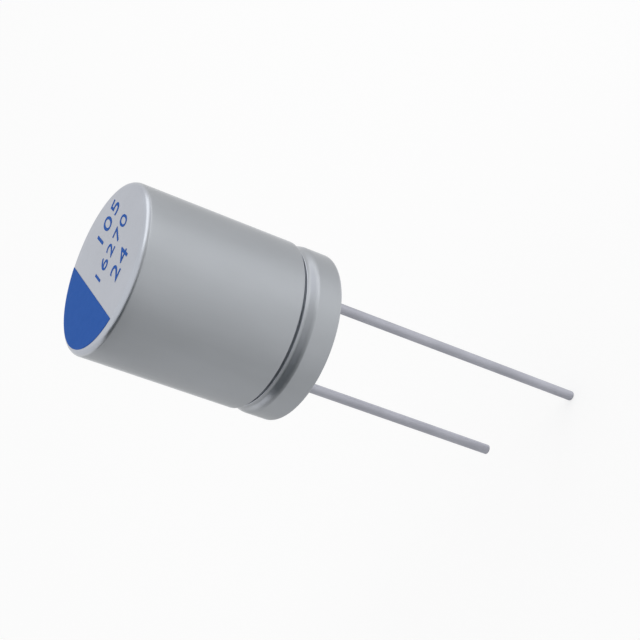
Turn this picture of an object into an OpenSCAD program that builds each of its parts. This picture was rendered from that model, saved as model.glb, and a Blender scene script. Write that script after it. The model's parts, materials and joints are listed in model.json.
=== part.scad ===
// Radial aluminium polymer capacitor: a drawn can with a rolled bead and a folded rim, closed by a
// rubber seal, holding a wound element on two coined terminals with tinned wires.
// The seat plane of the seal is z = 0, the wires point down and the anode is on the +X side.

/* [Can] */
// Outer diameter of the can
can_d = 10; // [9:0.1:12]
// Height from the seat plane to the closed top
can_h = 12.3; // [11:0.1:20]
// Wall of the drawn sheet
can_wall = 0.25; // [0.2:0.01:0.35]
// Thickness of the closed top
top_wall = 0.35; // [0.25:0.01:0.6]
// Outer radius of the edge of the top
top_edge_r = 0.3; // [0.1:0.01:0.5]

/* [Bead and rim] */
// Height of the lower edge of the body above the seat plane
bead_z = 2.52; // [2.4:0.01:2.6]
// Outer radius of the lower edge of the body
bead_edge_r = 0.05; // [0.03:0.01:0.1]
// Width of the slot under the body
slot_w = 0.24; // [0.18:0.01:0.3]
// Depth of the slot from the outer face of the can
slot_depth = 0.5; // [0.4:0.01:0.6]
// Depth of the neck under the slot, from the outer face of the can
neck_depth = 0.19; // [0.14:0.01:0.25]
// Outer radius of the edge between the slot and the neck
neck_edge_r = 0.05; // [0.03:0.01:0.08]
// Length of the straight neck
neck_l = 0.06; // [0.02:0.01:0.12]
// Radius of the hollow between the neck and the shoulder
hollow_r = 0.28; // [0.1:0.01:0.35]
// Slope of the shoulder from the axis of the can
shoulder_slope = 22.5; // [20:0.5:35]
// Radius of the bend between the shoulder and the rim
shoulder_r = 0.24; // [0.1:0.01:0.35]
// Slope of the upper side of the ridge inside the bead, from the axis of the can
ridge_top_slope = 60; // [50:1:70]
// Slope of the lower side of the ridge inside the bead, from the axis of the can
ridge_foot_slope = 35; // [32:1:45]
// Outer radius of the fold at the rim
rim_edge_r = 0.2; // [0.1:0.01:0.25]
// Width of the flat lip that ends the fold
rim_lip = 0.6; // [0.3:0.05:0.8]

/* [Polarity mark] */
// Distance of the straight edge of the mark from the axis of the can
mark_edge = 1.5; // [0.5:0.1:3]
// Thickness of the ink
mark_ink = 0.02; // [0.01:0.005:0.05]

/* [Wires] */
// Distance between the two wires
lead_pitch = 5; // [4.5:0.1:5.2]
// Diameter of a wire
wire_d = 0.6; // [0.5:0.05:0.8]
// Length of the anode wire below the seat plane
anode_l = 19; // [10:0.5:25]
// Length of the cathode wire below the seat plane
cathode_l = 15.2; // [8:0.1:22]
// Bevel on the cut end of a wire
wire_bevel = 0.05; // [0.02:0.01:0.1]
// Height of the weld of wire and terminal above the seat plane
weld_z = 0.9; // [0.5:0.05:1.2]
// Growth of the wire's radius from the seat plane up to the weld
weld_flare = 0.12; // [0.05:0.01:0.2]

/* [Seal] */
// Height of the rubber seal
seal_h = 3.4; // [3.3:0.05:4]
// Bevel on the inner edge of the seal
seal_bevel = 0.3; // [0.1:0.05:0.4]

/* [Terminals] */
// Diameter of the round boss of a terminal
boss_d = 1.1; // [0.9:0.05:1.3]
// Height of the boss above the seal, before the coining starts
boss_rise = 0.1; // [0.05:0.05:0.3]
// Length over which the boss is coined flat
coin_l = 0.9; // [0.6:0.05:1.2]
// Width of the paddle
paddle_w = 2; // [1.6:0.1:2.4]
// Thickness of the paddle
paddle_t = 0.25; // [0.15:0.01:0.35]
// Gap between the end of the coining and the roll
coin_gap = 0.1; // [0.05:0.05:0.3]

/* [Wound element] */
// Clearance between the tape and the can wall
roll_side_gap = 0.2; // [0.1:0.05:0.4]
// Clearance between the roll and the closed top
roll_top_gap = 0.4; // [0.2:0.05:0.8]
// Diameter of the hole that the winding mandrel leaves
core_d = 1.2; // [0.8:0.1:1.6]
// Number of turns of separator that stand out at each end
turns = 7; // [4:1:9]
// Height by which the separator stands out past the foils
separator_rise = 0.25; // [0.1:0.05:0.4]
// Thickness of a separator turn where it stands out
separator_t = 0.15; // [0.1:0.01:0.2]
// Distance of the end of a paddle from the top of the roll
paddle_end = 0.8; // [0.5:0.1:1.5]
// Thickness of the tape round the roll
tape_t = 0.06; // [0.04:0.01:0.1]
// Distance of the edges of the tape from the ends of the roll
tape_inset = 1; // [0.6:0.1:2]

/* [Hidden] */
$fn = 64;
// Pieces of an arc for each quarter turn
arc_steps = 6;
// Room by which a cutter passes the faces that it cuts
cut_over = 1;

can_r = can_d / 2;
inner_r = can_r - can_wall;
wire_r = wire_d / 2;
boss_r = boss_d / 2;
lead_x = lead_pitch / 2;
lip_r = inner_r - rim_lip;
root_r = slot_w / 2;
slot_top = bead_z - bead_edge_r;
slot_floor = slot_top - slot_w;
slot_root = [can_r - slot_depth + root_r, slot_top - root_r];
ridge_r = root_r + can_wall;
neck_z = slot_floor - neck_edge_r - neck_l;
bends_r = hollow_r + shoulder_r;
shoulder_l = (neck_depth - bends_r * (1 - cos(shoulder_slope))) / sin(shoulder_slope);
skirt_h = neck_z - bends_r * sin(shoulder_slope) - shoulder_l * cos(shoulder_slope);
mark_r = can_r - top_edge_r;
coin_z = seal_h + boss_rise;
roll_z = coin_z + coin_l + coin_gap;
roll_top = can_h - top_wall - roll_top_gap;
roll_r = inner_r - roll_side_gap - tape_t;
paddle_top = roll_top - paddle_end;
turn_pitch = (roll_r - core_d / 2) / turns;

// Points of an arc round the centre c, from the angle a to the angle b
function arc(c, r, a, b) =
    let (steps = max(1, ceil(abs(b - a) / 90 * arc_steps)))
    [for (i = [0 : steps]) c + r * [cos(a + (b - a) * i / steps), sin(a + (b - a) * i / steps)]];

// Height between the middle of the slot and the end of a side of the ridge that has the slope s
function ridge_h(s) =
    ridge_r * sin(s) + (inner_r - slot_root.x + ridge_r * cos(s)) / tan(s);

// Outer face of the bead: slot under the body, neck, hollow and shoulder down to the rim
bead_outer = [
    each arc([can_r - bead_edge_r, bead_z], bead_edge_r, 0, -90),
    each arc(slot_root, root_r, 90, 270),
    each arc([can_r - neck_depth - neck_edge_r, slot_floor - neck_edge_r], neck_edge_r, 90, 0),
    each arc([can_r - neck_depth + hollow_r, neck_z], hollow_r, 180, 180 + shoulder_slope),
    each arc([can_r - shoulder_r, skirt_h], shoulder_r, shoulder_slope, 0)
];

// Inner face of the bead: a ridge round the root of the slot, which presses into the seal
bead_inner = [
    [inner_r, slot_root.y + ridge_h(ridge_top_slope)],
    each arc(slot_root, ridge_r, 180 - ridge_top_slope, 180 + ridge_foot_slope),
    [inner_r, slot_root.y - ridge_h(ridge_foot_slope)]
];

// One drawn sheet from the centre of the top down to the lip of the fold, and back up its inner face
module can() {
    outer = [
        each arc([can_r - top_edge_r, can_h - top_edge_r], top_edge_r, 90, 0),
        each bead_outer,
        each arc([can_r - rim_edge_r, rim_edge_r], rim_edge_r, 0, -90),
        [lip_r, 0]
    ];
    inner = [
        [inner_r, can_h - top_wall],
        each bead_inner,
        [inner_r, can_wall],
        [lip_r, can_wall]
    ];
    color("silver")
        rotate_extrude()
            polygon([
                [0, can_h],
                each outer,
                for (i = [len(inner) - 1 : -1 : 0]) inner[i],
                [0, can_h - top_wall]
            ]);
}

// A segment of the flat of the top, on the cathode side
module polarity_mark() {
    color([0.2, 0.36, 0.64])
        translate([0, 0, can_h])
            linear_extrude(mark_ink)
                intersection() {
                    circle(mark_r);
                    translate([-can_d - mark_edge, -can_r])
                        square(can_d);
                }
}

// A bung that fills the rim, is waisted by the bead and has a stepped hole for each terminal
module rubber_seal() {
    color([0.13, 0.13, 0.14])
        difference() {
            rotate_extrude()
                polygon([
                    [0, 0],
                    [lip_r, 0],
                    [lip_r, can_wall],
                    [inner_r, can_wall],
                    for (i = [len(bead_inner) - 1 : -1 : 0]) bead_inner[i],
                    [inner_r, seal_h - seal_bevel],
                    [inner_r - seal_bevel, seal_h],
                    [0, seal_h]
                ]);
            for (x = [-lead_x, lead_x])
                translate([x, 0, 0])
                    rotate_extrude()
                        polygon([
                            [0, -cut_over],
                            [wire_r, -cut_over],
                            [wire_r, 0],
                            [wire_r + weld_flare, weld_z],
                            [boss_r, weld_z],
                            [boss_r, seal_h + cut_over],
                            [0, seal_h + cut_over]
                        ]);
        }
}

// A straight round wire with a bevelled cut end, flared inside the seal up to its weld
module wire(below) {
    rotate_extrude()
        polygon([
            [0, -below],
            [wire_r - wire_bevel, -below],
            [wire_r, -below + wire_bevel],
            [wire_r, 0],
            [wire_r + weld_flare, weld_z],
            [0, weld_z]
        ]);
}

module anode_wire() {
    color([0.72, 0.72, 0.76])
        translate([lead_x, 0, 0])
            wire(anode_l);
}

module cathode_wire() {
    color([0.72, 0.72, 0.76])
        translate([-lead_x, 0, 0])
            wire(cathode_l);
}

// A round boss that widens to a paddle seen along X and thins to it seen along Y
module terminal() {
    flat_z = coin_z + coin_l;
    intersection() {
        union() {
            translate([0, 0, weld_z])
                cylinder(r = boss_r, h = flat_z - weld_z);
            rotate([90, 0, 90])
                linear_extrude(boss_d, center = true)
                    polygon([
                        [0, coin_z],
                        [paddle_w / 2, flat_z],
                        [paddle_w / 2, paddle_top],
                        [-paddle_w / 2, paddle_top],
                        [-paddle_w / 2, flat_z]
                    ]);
        }
        rotate([90, 0, 0])
            linear_extrude(paddle_w + cut_over, center = true)
                polygon([
                    [-boss_d, weld_z - cut_over],
                    [boss_d, weld_z - cut_over],
                    [boss_d, coin_z],
                    [boss_r, coin_z],
                    [paddle_t / 2, flat_z],
                    [paddle_t / 2, paddle_top + cut_over],
                    [-paddle_t / 2, paddle_top + cut_over],
                    [-paddle_t / 2, flat_z],
                    [-boss_r, coin_z],
                    [-boss_d, coin_z]
                ]);
    }
}

module anode_tab() {
    color([0.8, 0.81, 0.82])
        translate([lead_x, 0, 0])
            terminal();
}

module cathode_tab() {
    color([0.8, 0.81, 0.82])
        translate([-lead_x, 0, 0])
            terminal();
}

// A roll of foil with the separator's turns standing out at both ends, slotted for the paddles
module wound_element() {
    foil_z = roll_z + separator_rise;
    foil_top = roll_top - separator_rise;
    color([0.3, 0.29, 0.28])
        difference() {
            union() {
                translate([0, 0, foil_z])
                    cylinder(r = roll_r, h = foil_top - foil_z);
                for (i = [1 : turns])
                    translate([0, 0, roll_z])
                        difference() {
                            cylinder(r = core_d / 2 + i * turn_pitch, h = roll_top - roll_z);
                            translate([0, 0, -cut_over])
                                cylinder(
                                    r = core_d / 2 + i * turn_pitch - separator_t,
                                    h = roll_top - roll_z + 2 * cut_over
                                );
                        }
            }
            translate([0, 0, roll_z - cut_over])
                cylinder(d = core_d, h = roll_top - roll_z + 2 * cut_over);
            for (x = [-lead_x, lead_x])
                translate([x - paddle_t / 2, -paddle_w / 2, roll_z - cut_over])
                    cube([paddle_t, paddle_w, paddle_top - roll_z + cut_over]);
        }
}

// A band of tape that holds the last turn
module winding_tape() {
    color([0.72, 0.45, 0.16])
        translate([0, 0, roll_z + tape_inset])
            difference() {
                cylinder(r = roll_r + tape_t, h = roll_top - roll_z - 2 * tape_inset);
                translate([0, 0, -cut_over])
                    cylinder(r = roll_r, h = roll_top - roll_z + 2 * cut_over);
            }
}

can();
polarity_mark();
rubber_seal();
anode_wire();
cathode_wire();
anode_tab();
cathode_tab();
wound_element();
winding_tape();
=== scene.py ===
import json
import math

import bmesh
import bpy
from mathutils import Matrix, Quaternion, Vector


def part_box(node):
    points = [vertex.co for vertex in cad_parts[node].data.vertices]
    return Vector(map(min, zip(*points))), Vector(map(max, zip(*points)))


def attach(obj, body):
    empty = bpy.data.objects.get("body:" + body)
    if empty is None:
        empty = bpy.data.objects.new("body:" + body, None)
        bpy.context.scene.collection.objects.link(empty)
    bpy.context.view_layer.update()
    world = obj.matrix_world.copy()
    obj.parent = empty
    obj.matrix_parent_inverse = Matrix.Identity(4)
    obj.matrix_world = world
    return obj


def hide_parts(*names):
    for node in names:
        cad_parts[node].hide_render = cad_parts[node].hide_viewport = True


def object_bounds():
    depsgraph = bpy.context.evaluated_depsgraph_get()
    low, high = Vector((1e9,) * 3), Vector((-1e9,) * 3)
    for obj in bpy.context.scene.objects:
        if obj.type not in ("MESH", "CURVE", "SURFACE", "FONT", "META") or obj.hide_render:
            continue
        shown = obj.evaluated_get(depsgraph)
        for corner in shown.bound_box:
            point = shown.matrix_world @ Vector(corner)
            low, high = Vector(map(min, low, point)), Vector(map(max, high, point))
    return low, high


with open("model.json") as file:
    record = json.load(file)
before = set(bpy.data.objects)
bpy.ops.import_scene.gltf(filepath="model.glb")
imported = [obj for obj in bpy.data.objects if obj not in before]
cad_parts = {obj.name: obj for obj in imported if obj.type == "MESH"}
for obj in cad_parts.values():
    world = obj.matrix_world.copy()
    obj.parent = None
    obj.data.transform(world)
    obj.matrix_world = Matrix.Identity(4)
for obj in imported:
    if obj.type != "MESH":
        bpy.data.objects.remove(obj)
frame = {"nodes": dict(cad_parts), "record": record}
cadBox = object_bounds()
nodes = frame["nodes"]
mounts = {m["name"]: m for m in frame["record"]["mounts"]}
mm = 0.001  # the scene is in metres, every size below in millimetres
print("frame loaded:", len(nodes), "nodes")

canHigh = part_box("can")[1] / mm
canR, canTop = canHigh.x, canHigh.z


# mesh helpers, with the degrees that one face may span on a bend
sweepStep = 2  # long bends that catch the light
bendStep = 6
edgeStep = 15  # smallest edges


def arcPoints(centre, radius, start, end, step=bendStep):
    count = max(2, math.ceil(abs(end - start) / step))
    angles = [math.radians(start + (end - start) * i / count) for i in range(count + 1)]
    return [(centre[0] + radius * math.cos(a), centre[1] + radius * math.sin(a)) for a in angles]


def meshPiece(name, verts, faces, material, sharpAngle=40):
    mesh = bpy.data.meshes.new(name)
    mesh.from_pydata([tuple(Vector(v) * mm) for v in verts], [], faces)
    bm = bmesh.new()
    bm.from_mesh(mesh)
    bmesh.ops.recalc_face_normals(bm, faces=bm.faces)
    bm.to_mesh(mesh)
    bm.free()
    mesh.shade_smooth()
    mesh.set_sharp_from_angle(angle=math.radians(sharpAngle))
    mesh.materials.append(material)
    piece = bpy.data.objects.new(name, mesh)
    bpy.context.scene.collection.objects.link(piece)
    return piece


def lathe(profile, segments, centreX=0.0):
    # turns a profile of (radius, height) round Z; it starts and ends on the axis
    verts, rings, faces = [], [], []
    for radius, height in profile:
        if radius == 0:
            rings.append([len(verts)] * segments)
            verts.append((centreX, 0, height))
            continue
        rings.append(list(range(len(verts), len(verts) + segments)))
        for i in range(segments):
            a = 2 * math.pi * i / segments
            verts.append((centreX + radius * math.cos(a), radius * math.sin(a), height))
    for low, high in zip(rings, rings[1:]):
        for i in range(segments):
            j = (i + 1) % segments
            corners = [low[i], low[j], high[j], high[i]]
            faces.append([c for k, c in enumerate(corners) if c not in corners[:k]])
    return verts, faces


# node helpers

def newMaterial(name):
    material = bpy.data.materials.new(name)
    material.use_nodes = True
    tree = material.node_tree
    return material, tree, tree.nodes["Principled BSDF"]


def addNode(tree, kind, **settings):
    # a setting that starts with in_ goes to the socket of that name
    made = tree.nodes.new(kind)
    for key, value in settings.items():
        if key.startswith("in_"):
            made.inputs[key[3:].replace("_", " ")].default_value = value
        else:
            setattr(made, key, value)
    return made


def stretchedNoise(tree, stretch, scale, detail=3.0, roughness=0.55):
    coords = addNode(tree, "ShaderNodeTexCoord")
    mapping = addNode(tree, "ShaderNodeMapping", in_Scale=stretch)
    noise = addNode(tree, "ShaderNodeTexNoise", in_Scale=scale, in_Detail=detail, in_Roughness=roughness)
    tree.links.new(coords.outputs["Object"], mapping.inputs["Vector"])
    tree.links.new(mapping.outputs["Vector"], noise.inputs["Vector"])
    return noise.outputs["Fac"]


def mapTo(tree, value, low, high, fromLow=0.3, fromHigh=0.7):
    ranged = addNode(tree, "ShaderNodeMapRange", in_From_Min=fromLow, in_From_Max=fromHigh)
    ranged.inputs["To Min"].default_value = low
    ranged.inputs["To Max"].default_value = high
    tree.links.new(value, ranged.inputs["Value"])
    return ranged.outputs["Result"]


def blendColours(tree, factor, first, second):
    mix = addNode(tree, "ShaderNodeMix", data_type="RGBA")
    mix.inputs["A"].default_value = (*first, 1)
    mix.inputs["B"].default_value = (*second, 1)
    tree.links.new(factor, mix.inputs["Factor"])
    return mix.outputs["Result"]


def mixShaders(tree, factor, first, second):
    mix = addNode(tree, "ShaderNodeMixShader")
    tree.links.new(factor, mix.inputs["Fac"])
    tree.links.new(first, mix.inputs[1])
    tree.links.new(second, mix.inputs[2])
    return mix.outputs[0]


def noisyFinish(name, look):
    # two colours clouded together; roughness and relief follow the grain, or else the clouds
    material, tree, bsdf = newMaterial(name)
    clouds = stretchedNoise(tree, **look["clouds"])
    grain = stretchedNoise(tree, **look["grain"]) if "grain" in look else clouds
    colour = blendColours(tree, mapTo(tree, clouds, 0, 1), look["dark"], look["light"])
    tree.links.new(colour, bsdf.inputs["Base Color"])
    if "metallic" in look:
        bsdf.inputs["Metallic"].default_value = look["metallic"]
    if "specular" in look:
        bsdf.inputs["Specular IOR Level"].default_value = look["specular"]
    if "roughness" in look:
        bsdf.inputs["Roughness"].default_value = look["roughness"]
    else:
        tree.links.new(mapTo(tree, grain, look["smooth"], look["rough"]), bsdf.inputs["Roughness"])
    if "relief" in look:
        bump = addNode(tree, "ShaderNodeBump", in_Strength=1.0, in_Distance=look["relief"] * mm)
        tree.links.new(grain, bump.inputs["Height"])
        tree.links.new(bump.outputs["Normal"], bsdf.inputs["Normal"])
    return material


# drawn can: the sheet runs from the top's centre over the bead to the lip and back inside
canSet = {
    "wall": 0.25,
    "topWall": 0.35,
    "topEdge": (0.33, 0.4),  # across, down
    "bodyLow": 2.52,
    "bodyEdge": 0.05,
    "bodyEdgeStep": 9,
    "slotWidth": 0.24,
    "slotDepth": 0.5,
    "neckDepth": 0.185,
    "neckEdge": 0.05,
    "neckSlope": 6,
    "neckLength": 0.06,
    "hollow": 0.7,
    "slope": 21,
    "shoulder": 1.7,
    "shoulderSlope": 10,  # where the shoulder's broad arc gives way to its edge
    "shoulderEdge": 0.35,
    "ridgeSlopes": (60, 35),  # over and under the slot, on the inside
    "rimEdge": 0.2,
    "lip": 0.6,
    "lipRound": 0.06,
    "edgeRow": 0.03,  # a row of faces this near a bend keeps the straight wall flat
    "topRings": 8,
    "bodyRows": 12,
    "segments": 256,
    "look": {
        "dark": (0.426, 0.446, 0.471),
        "light": (0.455, 0.476, 0.504),
        "clouds": {"stretch": (1, 1, 0.4), "scale": 350, "detail": 2.0},
        "metallic": 1.0,
        "smooth": 0.28,
        "rough": 0.325,
        "grain": {"stretch": (1, 1, 0.02), "scale": 5000},
        "relief": 0.0002,
    },
}


def slotRoot():
    s = canSet
    half = s["slotWidth"] / 2
    return canR - s["slotDepth"] + half, s["bodyLow"] - s["bodyEdge"] - half


def beadOuter():
    # square edge of the body, narrow slot, then a hollow and a shoulder down to the rim
    s = canSet
    start, tilt, turn = [math.radians(s[k]) for k in ("neckSlope", "slope", "shoulderSlope")]
    slotFloor = s["bodyLow"] - s["bodyEdge"] - s["slotWidth"]
    edge = (canR - s["neckDepth"] - s["neckEdge"] * math.cos(start), slotFloor - s["neckEdge"])
    reach = s["neckEdge"] + s["hollow"]
    hollow = (
        edge[0] + reach * math.cos(start) + s["neckLength"] * math.sin(start),
        edge[1] + reach * math.sin(start) - s["neckLength"] * math.cos(start),
    )
    broad, tight = s["shoulder"], s["shoulderEdge"]
    shoulderX = canR - tight - (broad - tight) * math.cos(turn)
    run = shoulderX - hollow[0] + (s["hollow"] + broad) * math.cos(tilt)
    shoulderZ = hollow[1] - run / math.tan(tilt) - (s["hollow"] + broad) * math.sin(tilt)
    skirtHigh = shoulderZ + (broad - tight) * math.sin(turn)
    return (
        arcPoints((canR - s["bodyEdge"], s["bodyLow"]), s["bodyEdge"], 0, -90, s["bodyEdgeStep"])
        + arcPoints(slotRoot(), s["slotWidth"] / 2, 90, 270, edgeStep)
        + arcPoints(edge, s["neckEdge"], 90, s["neckSlope"], edgeStep)
        + arcPoints(hollow, s["hollow"], 180 + s["neckSlope"], 180 + s["slope"], sweepStep)
        + arcPoints((shoulderX, shoulderZ), broad, s["slope"], s["shoulderSlope"], sweepStep)
        + arcPoints((canR - tight, skirtHigh), tight, s["shoulderSlope"], 0, sweepStep)[1:]
        + [(canR, skirtHigh - s["edgeRow"]), (canR, s["rimEdge"] + s["edgeRow"])]
    )


def beadInner():
    # ridge round the slot's root that grips the seal, from its top to its foot
    s = canSet
    inside = canR - s["wall"]
    ridge = s["slotWidth"] / 2 + s["wall"]
    x, z = slotRoot()
    upper, lower = s["ridgeSlopes"]
    rise, fall = [
        ridge * math.sin(a) + (inside - x + ridge * math.cos(a)) / math.tan(a)
        for a in (math.radians(upper), math.radians(lower))
    ]
    bend = arcPoints((x, z), ridge, 180 - upper, 180 + lower, edgeStep)
    return [(inside, z + rise)] + bend + [(inside, z - fall)]


def canProfile():
    s = canSet
    inside = canR - s["wall"]
    lipX = inside - s["lip"] + s["lipRound"]
    across, down = s["topEdge"]
    flatR, sideTop = canR - across, canTop - down
    straight = sideTop - s["bodyLow"]
    flat = [(flatR * i / s["topRings"], canTop) for i in range(s["topRings"])]
    edge = [(flatR + across * x, sideTop + down * z) for x, z in arcPoints((0, 0), 1, 90, 0)]
    body = [(canR, sideTop - straight * i / s["bodyRows"]) for i in range(1, s["bodyRows"])]
    body.append((canR, s["bodyLow"] + s["edgeRow"]))
    rim = arcPoints((canR - s["rimEdge"], s["rimEdge"]), s["rimEdge"], 0, -90)
    lip = arcPoints((lipX, s["lipRound"]), s["lipRound"], -90, -180, edgeStep)
    lip += arcPoints((lipX, s["wall"] - s["lipRound"]), s["lipRound"], 180, 90, edgeStep)
    inner = [(inside, s["wall"])] + beadInner()[::-1]
    ceiling = canTop - s["topWall"]
    return flat + edge + body + beadOuter() + rim + lip + inner + [(inside, ceiling), (0, ceiling)]


canAluminium = noisyFinish("canAluminium", canSet["look"])
canShell = meshPiece("canShell", *lathe(canProfile(), canSet["segments"]), canAluminium)
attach(canShell, "root")
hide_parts("can")
print("can turned:", len(canShell.data.polygons), "faces")


# printed top: the blue field and plain numbers beside it
printSet = {
    "numbers": [  # text, x, y and cap height
        ("105", 1.95, 2.08, 1.33),
        ("16270", 1.07, -0.1, 1.13),
        ("24", 0.95, -2.29, 1.33),
    ],
    "spacing": 1.12,
    "capShare": 0.73,  # cap height of the built-in face
    "inkRise": 0.012,
    "outlineStep": 1.5,
    "look": {
        "dark": (0.01, 0.084, 0.36),
        "light": (0.014, 0.092, 0.38),
        "clouds": {"stretch": (1, 1, 1), "scale": 2500},
        "roughness": 0.6,
        "specular": 0.05,
        "relief": 0.001,
    },
}


def fieldMesh():
    low, high = [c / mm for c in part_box("polarity_mark")]
    radius = -low.x
    edgeAngle = math.degrees(math.acos(high.x / radius))
    outline = arcPoints((0, 0), radius, edgeAngle, 360 - edgeAngle, printSet["outlineStep"])
    count = len(outline)
    verts = [(x, y, z) for z in (low.z, high.z) for x, y in outline]
    faces = [list(range(count)), list(range(count, 2 * count))]
    faces += [[i, (i + 1) % count, (i + 1) % count + count, i + count] for i in range(count)]
    return verts, faces


def numberRow(text, x, y, height):
    curve = bpy.data.curves.new("row", "FONT")
    curve.body = text
    curve.size = height * mm / printSet["capShare"]
    curve.space_character = printSet["spacing"]
    curve.align_x = "CENTER"
    curve.align_y = "CENTER"
    curve.extrude = printSet["inkRise"] * mm / 2
    holder = bpy.data.objects.new("row", curve)
    holder.location = Vector((x, y, canTop + printSet["inkRise"] / 2)) * mm
    bpy.context.scene.collection.objects.link(holder)
    bpy.context.view_layer.update()
    evaluated = holder.evaluated_get(bpy.context.evaluated_depsgraph_get())
    mesh = bpy.data.meshes.new_from_object(evaluated)
    mesh.transform(holder.matrix_world)
    bpy.data.objects.remove(holder)
    return mesh


blueInk = noisyFinish("blueInk", printSet["look"])
polarityField = meshPiece("polarityField", *fieldMesh(), blueInk)
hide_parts("polarity_mark")

joined = bmesh.new()
for row in printSet["numbers"]:
    joined.from_mesh(numberRow(*row))
numbersMesh = bpy.data.meshes.new("ratingNumbers")
joined.to_mesh(numbersMesh)
joined.free()
numbersMesh.materials.clear()
numbersMesh.materials.append(blueInk)
ratingNumbers = bpy.data.objects.new("ratingNumbers", numbersMesh)
bpy.context.scene.collection.objects.link(ratingNumbers)
for piece in (polarityField, ratingNumbers):
    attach(piece, "root")
print("top printed")


# tinned wires, each up to its weld inside the seal
wireSet = {
    "bevel": 0.06,
    "weldHeight": 0.9,
    "weldFlare": 0.12,
    "rows": 24,
    "segments": 64,
    "look": {
        "dark": (0.445, 0.452, 0.505),
        "light": (0.515, 0.522, 0.58),
        "clouds": {"stretch": (1, 1, 0.5), "scale": 900},
        "metallic": 1.0,
        "smooth": 0.34,
        "rough": 0.46,
        "grain": {"stretch": (1, 1, 0.01), "scale": 14000},
        "relief": 0.0008,
    },
}


def wireProfile(radius, tip):
    s = wireSet
    end = arcPoints((radius - s["bevel"], tip + s["bevel"]), s["bevel"], -90, 0, edgeStep)
    shaft = [(radius, tip - tip * i / s["rows"]) for i in range(1, s["rows"] + 1)]
    weld = [(radius + s["weldFlare"], s["weldHeight"]), (0, s["weldHeight"])]
    return [(0, tip)] + end + shaft + weld


tinnedWire = noisyFinish("tinnedWire", wireSet["look"])
for side in ("anode", "cathode"):
    mount = mounts[side + "_lead"]
    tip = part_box(side + "_wire")[0].z / mm
    profile = wireProfile(mount["dims"]["r_mm"], tip)
    turned = lathe(profile, wireSet["segments"], mount["pos_m"][0] / mm)
    wire = meshPiece(side + "Lead", *turned, tinnedWire)
    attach(wire, "root")
    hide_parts(side + "_wire")
print("wires turned")


# rubber seal and the pieces inside the can keep their solids
sealLook = {
    "dark": (0.014, 0.014, 0.015),
    "light": (0.028, 0.028, 0.03),
    "clouds": {"stretch": (1, 1, 1), "scale": 6000, "detail": 5.0},
    "smooth": 0.62,
    "rough": 0.8,
    "relief": 0.004,
}
tabLook = {
    "dark": (0.62, 0.63, 0.64),
    "light": (0.74, 0.75, 0.76),
    "clouds": {"stretch": (1, 1, 0.1), "scale": 3000},
    "metallic": 1.0,
    "smooth": 0.3,
    "rough": 0.5,
}
rollLook = {
    "dark": (0.05, 0.047, 0.045),
    "light": (0.13, 0.12, 0.11),
    "clouds": {"stretch": (1, 1, 0.2), "scale": 4000, "detail": 4.0},
    "roughness": 0.8,
    "relief": 0.01,
}
tapeLook = {
    "dark": (0.42, 0.17, 0.025),
    "light": (0.52, 0.23, 0.04),
    "clouds": {"stretch": (1, 1, 3), "scale": 1500},
    "roughness": 0.25,
}

tabAluminium = noisyFinish("tabAluminium", tabLook)
solidFinishes = {
    "rubber_seal": noisyFinish("sealRubber", sealLook),
    "anode_tab": tabAluminium,
    "cathode_tab": tabAluminium,
    "wound_element": noisyFinish("woundFoil", rollLook),
    "winding_tape": noisyFinish("amberTape", tapeLook),
}
for name, material in solidFinishes.items():
    nodes[name].data.materials.clear()
    nodes[name].data.materials.append(material)
print("inner pieces finished")


# studio: pale floor under the wire tips, cards for the metal to reflect, lamps and the camera
stageStep = 5
floorSet = {
    "radius": 1600,
    "gap": 0.02,
    "tone": (0.98, 0.98, 0.98),
    "shadowShare": 0.35,
}
cardSet = {  # turn and fades in degrees round the part, edges as (radius, height over the floor)
    "floorCard": {
        "turn": (-190, -38),
        "edges": ((0.2, 0), (420, 0)),
        "tone": (0.7, 0.7, 0.7),
        "fade": (-120, -38),
        "farTone": (0.17, 0.17, 0.17),
        "farReach": (85, 190),
        "farFade": (-133, -63),
    },
    "endCard": {
        "turn": (-230, -190),
        "edges": ((0.2, 0), (150, 0)),
        "tone": (0.65, 0.65, 0.65),
    },
    "sideCard": {
        "turn": (-166, -15),
        "edges": ((420, 0), (420, 200)),
        "tone": (0.076, 0.09, 0.098),
        "fade": (-103, -15),
    },
    "topCard": {
        "turn": (-180, 180),
        "edges": ((0.2, 330), (500, 330)),
        "tone": (0, 0, 0),
        "glow": (0.945, 0.95, 0.99),
        "glowStrength": 1.13,
    },
    "backCard": {
        "turn": (-14, 75),
        "edges": ((34, 0), (250, 0)),
        "tone": (0.75, 0.75, 0.75),
        "fade": (24, -14),
    },
}
skySet = {"light": 0.86, "shown": (0.93, 0.93, 0.97)}
lampSet = {
    "key": {"place": (233, 40, 152), "size": (400, 150), "roll": -24, "watts": 0.18},
    "low": {"place": (170, 0, -13.2), "size": (250, 11), "roll": 0, "watts": 0.011},
}
cameraSet = {
    "eye": (17.34, -83.54, 40.69),
    "aim": (1.405, 0.267, -1.096),
    "roll": -69.54,
    "lens": 92.62,
    "near": 5,
}


def backgroundRays(tree):
    # 1 for rays that show the background: camera, glossy and transmission
    path = addNode(tree, "ShaderNodeLightPath")
    either = addNode(tree, "ShaderNodeMath", operation="MAXIMUM")
    anyRay = addNode(tree, "ShaderNodeMath", operation="MAXIMUM")
    tree.links.new(path.outputs["Is Camera Ray"], either.inputs[0])
    tree.links.new(path.outputs["Is Glossy Ray"], either.inputs[1])
    tree.links.new(either.outputs[0], anyRay.inputs[0])
    tree.links.new(path.outputs["Is Transmission Ray"], anyRay.inputs[1])
    return anyRay.outputs[0]


def mattPaint(name, colour):
    material, tree, bsdf = newMaterial(name)
    bsdf.inputs["Base Color"].default_value = (*colour, 1)
    bsdf.inputs["Roughness"].default_value = 0.9
    bsdf.inputs["Specular IOR Level"].default_value = 0.0
    return material, tree, bsdf


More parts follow.
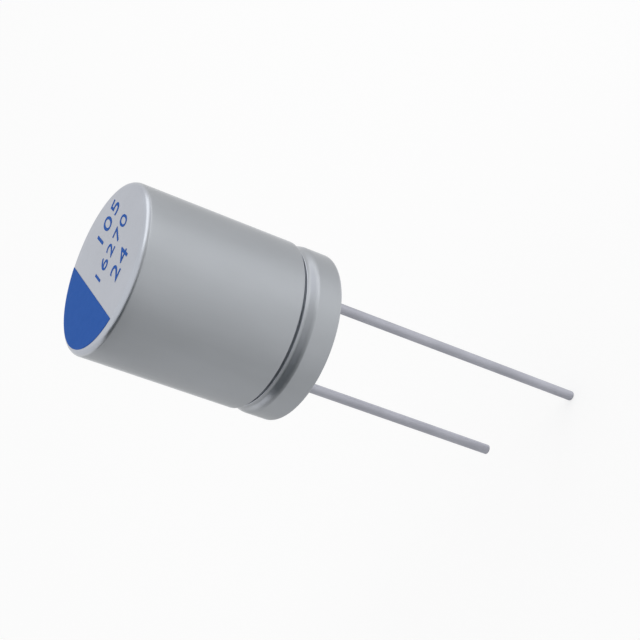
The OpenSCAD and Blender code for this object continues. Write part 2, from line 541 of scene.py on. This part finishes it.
def floorPaint():
    # background white with a share of the true shading, and clear from below
    material, tree, bsdf = mattPaint("paleFloor", floorSet["tone"])
    white = addNode(tree, "ShaderNodeEmission", in_Strength=1.0)
    shaded = addNode(tree, "ShaderNodeMixShader", in_Fac=floorSet["shadowShare"])
    tree.links.new(white.outputs[0], shaded.inputs[1])
    tree.links.new(bsdf.outputs[0], shaded.inputs[2])
    byRay = mixShaders(tree, backgroundRays(tree), bsdf.outputs[0], shaded.outputs[0])
    side = addNode(tree, "ShaderNodeNewGeometry")
    clear = addNode(tree, "ShaderNodeBsdfTransparent")
    bySide = mixShaders(tree, side.outputs["Backfacing"], byRay, clear.outputs[0])
    tree.links.new(bySide, tree.nodes["Material Output"].inputs["Surface"])
    return material


def makeFloor():
    ring = arcPoints((0, 0), floorSet["radius"], 0, 360, stageStep)[:-1]
    height = cadBox[0].z / mm - floorSet["gap"]
    verts = [(x, y, height) for x, y in ring]
    floor = meshPiece("floor", verts, [list(range(len(ring)))], floorPaint())
    if floor.data.polygons[0].normal.z < 0:
        floor.data.flip_normals()


def cardPaint(name, card):
    # plain tone that a fade turns white between two directions round the part
    material, tree, bsdf = mattPaint(name, card["tone"])
    if "glow" in card:
        bsdf.inputs["Emission Color"].default_value = (*card["glow"], 1)
        bsdf.inputs["Emission Strength"].default_value = card["glowStrength"]
    if "fade" not in card:
        return material
    middle = sum(card["turn"]) / 2
    coords = addNode(tree, "ShaderNodeTexCoord")
    turned = addNode(tree, "ShaderNodeMapping", vector_type="TEXTURE")
    turned.inputs["Rotation"].default_value = (0, 0, math.radians(middle))
    sweep = addNode(tree, "ShaderNodeTexGradient", gradient_type="RADIAL")
    tree.links.new(coords.outputs["Object"], turned.inputs["Vector"])
    tree.links.new(turned.outputs["Vector"], sweep.inputs["Vector"])

    def rampOver(angles, low, high):
        # the gradient is a half at the card's middle and gains 1 in a full turn
        ends = [0.5 + (a - middle) / 360 for a in angles]
        return mapTo(tree, sweep.outputs["Fac"], low, high, *ends)

    shade = blendColours(tree, rampOver(card["fade"], 0, 1), card["tone"], (1, 1, 1))
    tree.links.new(shade, bsdf.inputs["Base Color"])
    if "farTone" in card:
        distance = addNode(tree, "ShaderNodeVectorMath", operation="LENGTH")
        darker = addNode(tree, "ShaderNodeMath", operation="MULTIPLY")
        reach = [r * mm for r in card["farReach"]]
        tree.links.new(coords.outputs["Object"], distance.inputs[0])
        tree.links.new(mapTo(tree, distance.outputs["Value"], 0, 1, *reach), darker.inputs[0])
        tree.links.new(rampOver(card["farFade"], 1, 0), darker.inputs[1])
        far = blendColours(tree, darker.outputs[0], card["tone"], card["farTone"])
        tree.links.new(far, shade.node.inputs["A"])
    return material


def makeCard(name, card):
    # seen only in reflections
    verts = []
    for radius, height in card["edges"]:
        level = cadBox[0].z / mm + height
        verts += [(x, y, level) for x, y in arcPoints((0, 0), radius, *card["turn"], stageStep)]
    count = len(verts) // 2
    faces = [[i, i + 1, i + 1 + count, i + count] for i in range(count - 1)]
    board = meshPiece(name, verts, faces, cardPaint(name, card))
    board.location.x = mounts["anode_lead"]["pos_m"][0]  # fans out from the longer wire's foot
    board.visible_camera = False
    board.visible_diffuse = False
    board.visible_shadow = False


def makeWorld():
    world = bpy.data.worlds.new("studio")
    bpy.context.scene.world = world
    world.use_nodes = True
    tree = world.node_tree
    light = tree.nodes["Background"]
    light.inputs["Color"].default_value = (1, 1, 1, 1)
    light.inputs["Strength"].default_value = skySet["light"]
    shown = addNode(tree, "ShaderNodeBackground", in_Color=(*skySet["shown"], 1), in_Strength=1.0)
    sky = mixShaders(tree, backgroundRays(tree), light.outputs[0], shown.outputs[0])
    tree.links.new(sky, tree.nodes["World Output"].inputs["Surface"])


def aimedTurn(place, target, roll):
    towards = (target - place).to_track_quat("-Z", "Y")
    return (towards @ Quaternion((0, 0, 1), math.radians(roll))).to_euler()


def makeLamp(name, place, size, roll, watts):
    data = bpy.data.lights.new(name, "AREA")
    data.shape = "RECTANGLE"
    data.size, data.size_y = [side * mm for side in size]
    data.energy = watts
    lamp = bpy.data.objects.new(name, data)
    lamp.location = Vector(place) * mm
    lamp.rotation_euler = aimedTurn(lamp.location, Vector((0, 0, 0)), roll)
    bpy.context.scene.collection.objects.link(lamp)


def makeCamera():
    data = bpy.data.cameras.new("camera")
    data.lens = cameraSet["lens"]
    data.clip_start = cameraSet["near"] * mm
    camera = bpy.data.objects.new("camera", data)
    camera.location = Vector(cameraSet["eye"]) * mm
    camera.rotation_euler = aimedTurn(camera.location, Vector(cameraSet["aim"]) * mm, cameraSet["roll"])
    bpy.context.scene.collection.objects.link(camera)
    bpy.context.scene.camera = camera


makeFloor()
for name, card in cardSet.items():
    makeCard(name, card)
makeWorld()
for name, lamp in lampSet.items():
    makeLamp(name, **lamp)
makeCamera()
bpy.context.scene.view_settings.view_transform = "Standard"
print("studio set")
